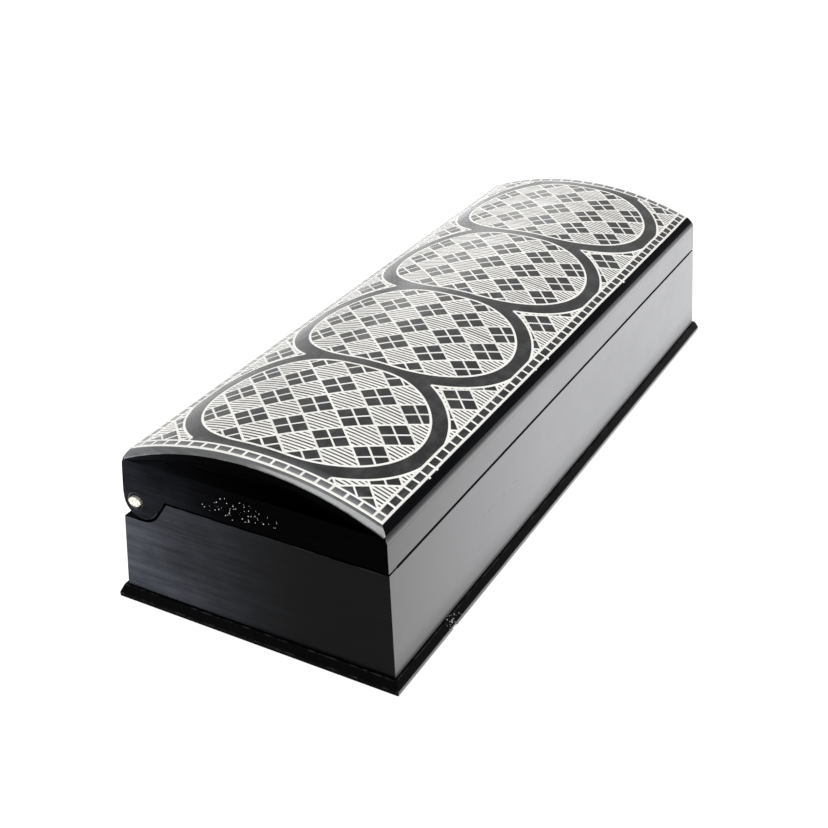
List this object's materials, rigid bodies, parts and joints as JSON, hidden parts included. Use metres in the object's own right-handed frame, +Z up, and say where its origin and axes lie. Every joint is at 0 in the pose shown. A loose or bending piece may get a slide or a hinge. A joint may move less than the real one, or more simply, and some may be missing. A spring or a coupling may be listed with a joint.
{
  "type": "bangle box",
  "caption": "Long dark wooden bangle box on a moulded base plate, with a domed hinged lid inlaid with white metal strips in ovals and lattice.",
  "frame": {"origin": "centre of the base plate's underside", "axes": "+X along the box, -Y is the opening side and +Y the hinge side, +Z up"},
  "size_m": [0.2602, 0.1002, 0.0611],
  "materials": {
    "ebony_body": "waxed satin, planed, fine grain",
    "ebony_base": "waxed satin, hand-worked bevel",
    "ebony_lid": "polished satin",
    "white_metal": "filed flush, fine scratches",
    "pin_metal": "rough cut and hammered"
  },
  "bodies": {
    "body": {"base_plate": "ebony_base", "body_front_wall": "ebony_body", "body_back_wall": "ebony_body", "body_left_end": "ebony_body", "body_right_end": "ebony_body", "left_hinge_pin": "pin_metal", "right_hinge_pin": "pin_metal"},
    "lid": {"lid_front_rail": "ebony_lid", "lid_back_rail": "ebony_lid", "lid_left_end": "ebony_lid", "lid_right_end": "ebony_lid", "lid_top": "ebony_lid", "inlay_ladder": "white_metal", "inlay_oval_1": "white_metal", "inlay_oval_2": "white_metal", "inlay_oval_3": "white_metal", "inlay_oval_4": "white_metal", "inlay_front_spandrel_1": "white_metal", "inlay_front_spandrel_2": "white_metal", "inlay_front_spandrel_3": "white_metal", "inlay_back_spandrel_1": "white_metal", "inlay_back_spandrel_2": "white_metal", "inlay_back_spandrel_3": "white_metal", "inlay_corner_left_front": "white_metal", "inlay_corner_left_back": "white_metal", "inlay_corner_right_back": "white_metal", "inlay_corner_right_front": "white_metal"}
  },
  "joints": [
    {"name": "lid_hinge", "type": "hinge", "parent": "body", "child": "lid", "pos_m": [0, 0.04194, 0.0355], "axis": [-1, 0, 0], "range_deg": [0, 100]}
  ]
}
